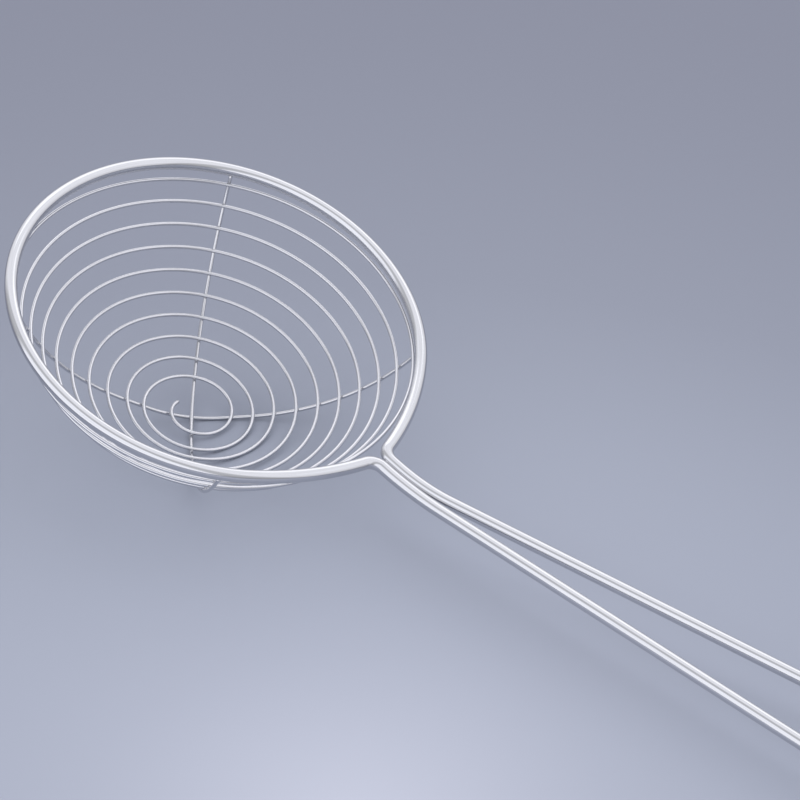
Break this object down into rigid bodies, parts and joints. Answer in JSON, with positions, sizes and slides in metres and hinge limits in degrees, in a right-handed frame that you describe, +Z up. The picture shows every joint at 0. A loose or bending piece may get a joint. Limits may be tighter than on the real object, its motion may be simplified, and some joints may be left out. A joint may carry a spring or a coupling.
{
  "type": "spider skimmer",
  "caption": "Kitchen skimmer: a shallow spiral-wound wire bowl on crossed ribs, in a rim that runs on into a long handle of spreading rods closed by a hanging loop.",
  "frame": {"origin": "middle of the outline on the table that the skimmer rests on", "axes": "+X from the bowl towards the end of the handle, +Z up from the table"},
  "size_m": [0.4362, 0.165, 0.0876],
  "materials": {
    "frame_wire": "bright drawn stainless steel wire, lightly polished",
    "basket_wire": "bright drawn stainless steel wire, thin",
    "rib_wire": "bright drawn stainless steel wire, thin, darkened a little at the spot welds"
  },
  "bodies": {
    "root": {"frame_wire": "frame_wire", "spiral_basket_wire": "basket_wire", "inner_rib": "rib_wire", "outer_rib": "rib_wire"}
  },
  "joints": []
}
